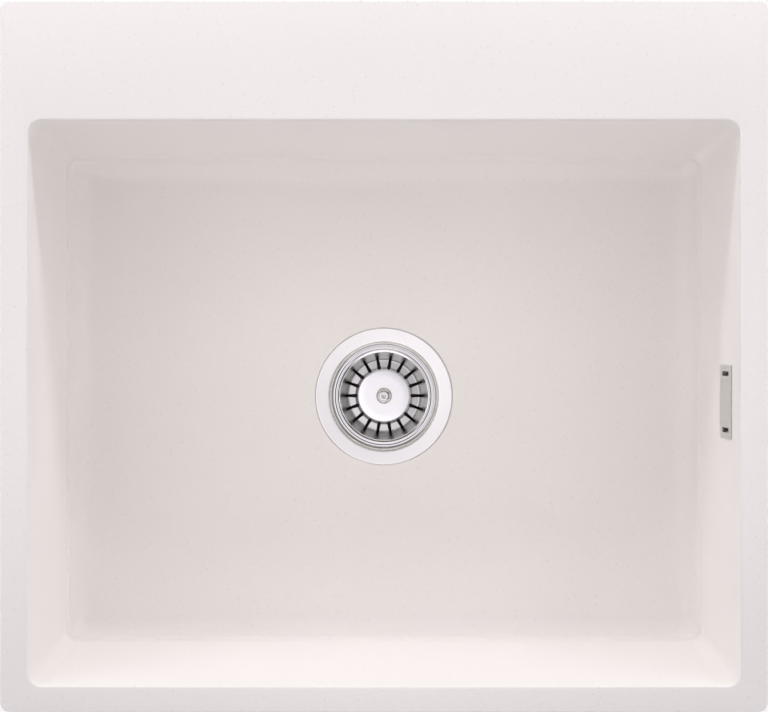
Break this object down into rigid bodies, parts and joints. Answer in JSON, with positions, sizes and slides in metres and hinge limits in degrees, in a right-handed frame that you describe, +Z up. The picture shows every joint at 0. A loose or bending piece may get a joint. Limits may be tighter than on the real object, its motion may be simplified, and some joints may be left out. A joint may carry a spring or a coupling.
{
  "type": "granite sink",
  "caption": "Inset granite composite kitchen sink with one deep rectangular bowl, rear deck, lift-out basket strainer waste, wall overflow with flat duct, and swing claw clamps.",
  "frame": {"origin": "middle of the rim's outline, on the rim's underside, which lies on the worktop", "axes": "+Z up, +Y to the rear deck, +X to the side with the overflow"},
  "size_m": [0.55, 0.51, 0.295],
  "materials": {
    "granite": "matt moulded granite composite, off-white",
    "polished_steel": "polished stainless steel",
    "cover_steel": "satin stainless steel",
    "turned_steel": "turned stainless steel",
    "zinc_plated_steel": "zinc plated",
    "black_rubber": "matt black rubber",
    "grey_foam": "closed-cell foam strip",
    "white_plastic": "moulded polypropylene",
    "brass": "machined brass"
  },
  "bodies": {
    "sink": {"bowl": "granite", "rim_seal": "grey_foam", "strainer_cup": "polished_steel", "flange_seal": "black_rubber", "lower_seal": "black_rubber", "waste_body": "white_plastic", "waste_screw": "turned_steel", "waste_nut": "brass", "overflow_frame": "white_plastic", "overflow_screws": "turned_steel", "overflow_seal": "black_rubber", "overflow_housing": "white_plastic", "overflow_pipe": "white_plastic", "overflow_nut_waste": "white_plastic", "overflow_nut_housing": "white_plastic", "overflow_washers": "black_rubber", "clamp_brackets": "zinc_plated_steel"},
    "strainer_stem": {"basket_stem": "turned_steel", "basket_knob": "polished_steel", "basket_plug": "black_rubber", "plug_washer": "turned_steel", "plug_nut": "brass"},
    "strainer_basket": {"basket": "polished_steel"},
    "overflow_plate": {"overflow_cover": "cover_steel"},
    "screw_1": {"clamp_screw_1": "zinc_plated_steel"},
    "claw_1": {"clamp_claw_1": "zinc_plated_steel"},
    "screw_2": {"clamp_screw_2": "zinc_plated_steel"},
    "claw_2": {"clamp_claw_2": "zinc_plated_steel"},
    "screw_3": {"clamp_screw_3": "zinc_plated_steel"},
    "claw_3": {"clamp_claw_3": "zinc_plated_steel"},
    "screw_4": {"clamp_screw_4": "zinc_plated_steel"},
    "claw_4": {"clamp_claw_4": "zinc_plated_steel"},
    "screw_5": {"clamp_screw_5": "zinc_plated_steel"},
    "claw_5": {"clamp_claw_5": "zinc_plated_steel"},
    "screw_6": {"clamp_screw_6": "zinc_plated_steel"},
    "claw_6": {"clamp_claw_6": "zinc_plated_steel"},
    "screw_7": {"clamp_screw_7": "zinc_plated_steel"},
    "claw_7": {"clamp_claw_7": "zinc_plated_steel"},
    "screw_8": {"clamp_screw_8": "zinc_plated_steel"},
    "claw_8": {"clamp_claw_8": "zinc_plated_steel"}
  },
  "joints": [
    {"name": "strainer_lift", "type": "slide", "parent": "sink", "child": "strainer_stem", "axis": [0, 0, 1], "range_m": [0, 0.26]},
    {"name": "basket_spin", "type": "hinge", "parent": "strainer_stem", "child": "strainer_basket", "pos_m": [0, -0.033, -0.214], "axis": [0, 0, 1], "continuous": true},
    {"name": "cover_pull", "type": "slide", "parent": "sink", "child": "overflow_plate", "axis": [-1, 0, 0], "range_m": [0, 0.03]},
    {"name": "clamp_1_rise", "type": "slide", "parent": "sink", "child": "screw_1", "axis": [0, 0, 1], "range_m": [0, 0.022]},
    {"name": "clamp_2_rise", "type": "slide", "parent": "sink", "child": "screw_2", "axis": [0, 0, 1], "range_m": [0, 0.022]},
    {"name": "clamp_3_rise", "type": "slide", "parent": "sink", "child": "screw_3", "axis": [0, 0, 1], "range_m": [0, 0.022]},
    {"name": "clamp_4_rise", "type": "slide", "parent": "sink", "child": "screw_4", "axis": [0, 0, 1], "range_m": [0, 0.022]},
    {"name": "clamp_5_rise", "type": "slide", "parent": "sink", "child": "screw_5", "axis": [0, 0, 1], "range_m": [0, 0.022]},
    {"name": "clamp_6_rise", "type": "slide", "parent": "sink", "child": "screw_6", "axis": [0, 0, 1], "range_m": [0, 0.022]},
    {"name": "clamp_7_rise", "type": "slide", "parent": "sink", "child": "screw_7", "axis": [0, 0, 1], "range_m": [0, 0.022]},
    {"name": "clamp_8_rise", "type": "slide", "parent": "sink", "child": "screw_8", "axis": [0, 0, 1], "range_m": [0, 0.022]},
    {"name": "clamp_1_swing", "type": "hinge", "parent": "screw_1", "child": "claw_1", "pos_m": [0.27, -0.156, -0.058], "axis": [0, 0, -1], "range_deg": [0, 90]},
    {"name": "clamp_2_swing", "type": "hinge", "parent": "screw_2", "child": "claw_2", "pos_m": [0.27, 0.088, -0.058], "axis": [0, 0, -1], "range_deg": [0, 90]},
    {"name": "clamp_3_swing", "type": "hinge", "parent": "screw_3", "child": "claw_3", "pos_m": [0.165, 0.25, -0.058], "axis": [0, 0, -1], "range_deg": [0, 90]},
    {"name": "clamp_4_swing", "type": "hinge", "parent": "screw_4", "child": "claw_4", "pos_m": [-0.165, 0.25, -0.058], "axis": [0, 0, -1], "range_deg": [0, 90]},
    {"name": "clamp_5_swing", "type": "hinge", "parent": "screw_5", "child": "claw_5", "pos_m": [-0.27, 0.088, -0.058], "axis": [0, 0, -1], "range_deg": [0, 90]},
    {"name": "clamp_6_swing", "type": "hinge", "parent": "screw_6", "child": "claw_6", "pos_m": [-0.27, -0.156, -0.058], "axis": [0, 0, -1], "range_deg": [0, 90]},
    {"name": "clamp_7_swing", "type": "hinge", "parent": "screw_7", "child": "claw_7", "pos_m": [-0.165, -0.25, -0.058], "axis": [0, 0, -1], "range_deg": [0, 90]},
    {"name": "clamp_8_swing", "type": "hinge", "parent": "screw_8", "child": "claw_8", "pos_m": [0.165, -0.25, -0.058], "axis": [0, 0, -1], "range_deg": [0, 90]}
  ]
}
